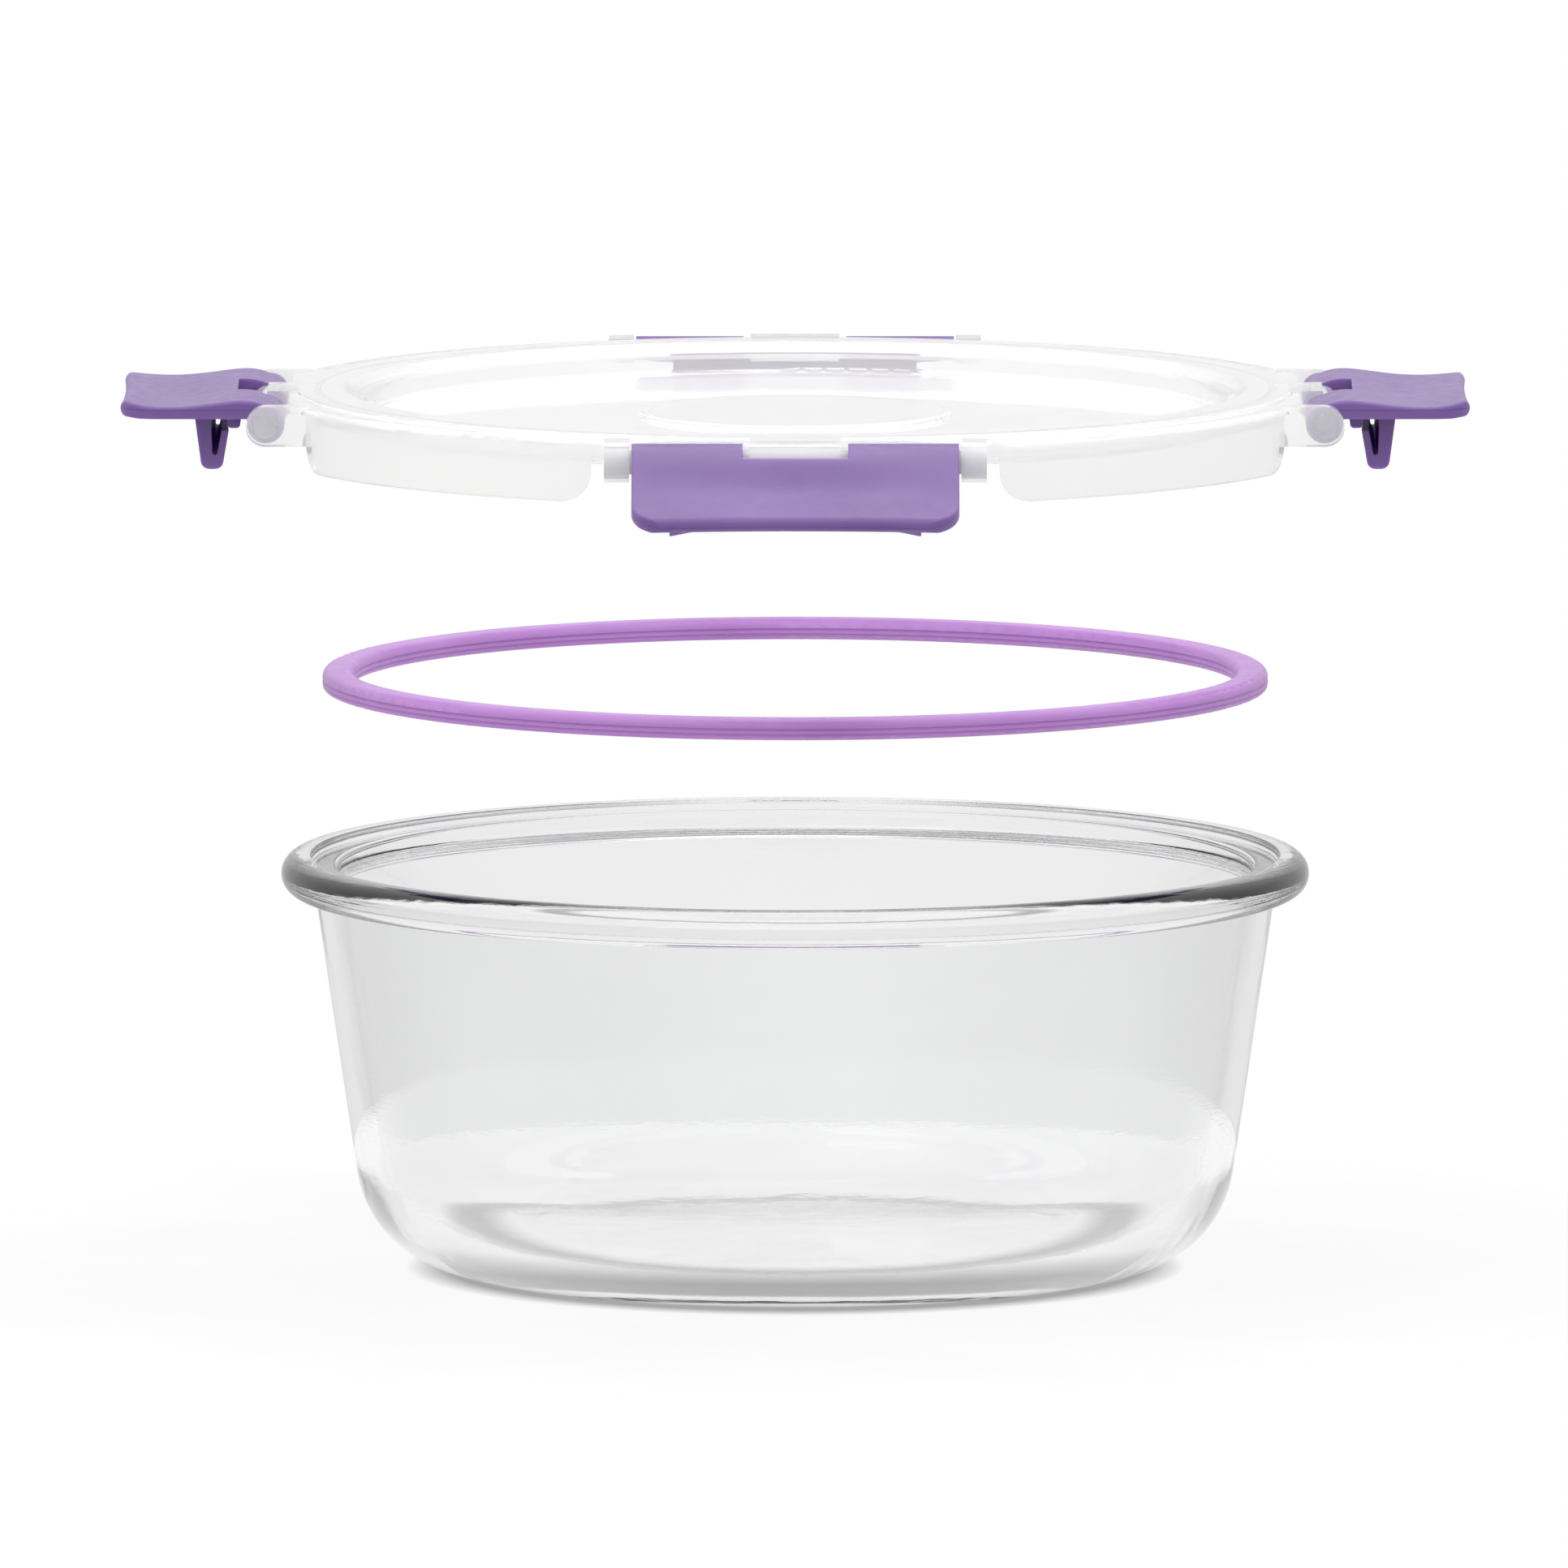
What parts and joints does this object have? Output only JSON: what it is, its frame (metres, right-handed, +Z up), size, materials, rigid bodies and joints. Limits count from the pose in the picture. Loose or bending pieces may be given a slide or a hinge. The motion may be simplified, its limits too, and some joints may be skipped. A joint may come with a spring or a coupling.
{
  "type": "glass storage container",
  "caption": "Round glass food container with a silicone gasket and a clear snap lid with hinged side latches, shown opened out.",
  "frame": {"origin": "centre of the bowl's foot, on the surface that it stands on", "axes": "+Z up, -Y towards the front latch, +X towards the right latch"},
  "size_m": [0.2168, 0.2142, 0.1431],
  "materials": {
    "glass": "polished",
    "gasket": "satin",
    "lid": "gloss",
    "latch": "satin",
    "pin": "gloss"
  },
  "bodies": {
    "bowl": {"glass_bowl": "glass"},
    "lid": {"lid_shell": "lid", "right_hinge_pin": "pin", "rear_hinge_pin": "pin", "left_hinge_pin": "pin", "front_hinge_pin": "pin"},
    "gasket": {"gasket_ring": "gasket"},
    "right_latch": {"right_latch": "latch"},
    "rear_latch": {"rear_latch": "latch"},
    "left_latch": {"left_latch": "latch"},
    "front_latch": {"front_latch": "latch"}
  },
  "joints": [
    {"name": "lid_lift", "type": "slide", "parent": "bowl", "child": "lid", "axis": [0, 0, 1], "range_m": [-0.0723, 0]},
    {"name": "gasket_lift", "type": "slide", "parent": "bowl", "child": "gasket", "axis": [0, 0, 1], "range_m": [-0.0283, 0]},
    {"name": "right_latch_hinge", "type": "hinge", "parent": "lid", "child": "right_latch", "pos_m": [0.085, 0, 0.1393], "axis": [0, -1, 0], "range_deg": [-90, 65]},
    {"name": "rear_latch_hinge", "type": "hinge", "parent": "lid", "child": "rear_latch", "pos_m": [0, 0.085, 0.1393], "axis": [1, 0, 0], "range_deg": [-64, 91]},
    {"name": "left_latch_hinge", "type": "hinge", "parent": "lid", "child": "left_latch", "pos_m": [-0.085, 0, 0.1393], "axis": [0, 1, 0], "range_deg": [-90, 65]},
    {"name": "front_latch_hinge", "type": "hinge", "parent": "lid", "child": "front_latch", "pos_m": [0, -0.085, 0.1393], "axis": [-1, 0, 0], "range_deg": [-64, 91]}
  ],
  "couplings": [
    {"joint": "gasket_lift", "follows": "lid_lift", "ratio": 0.39142}
  ]
}
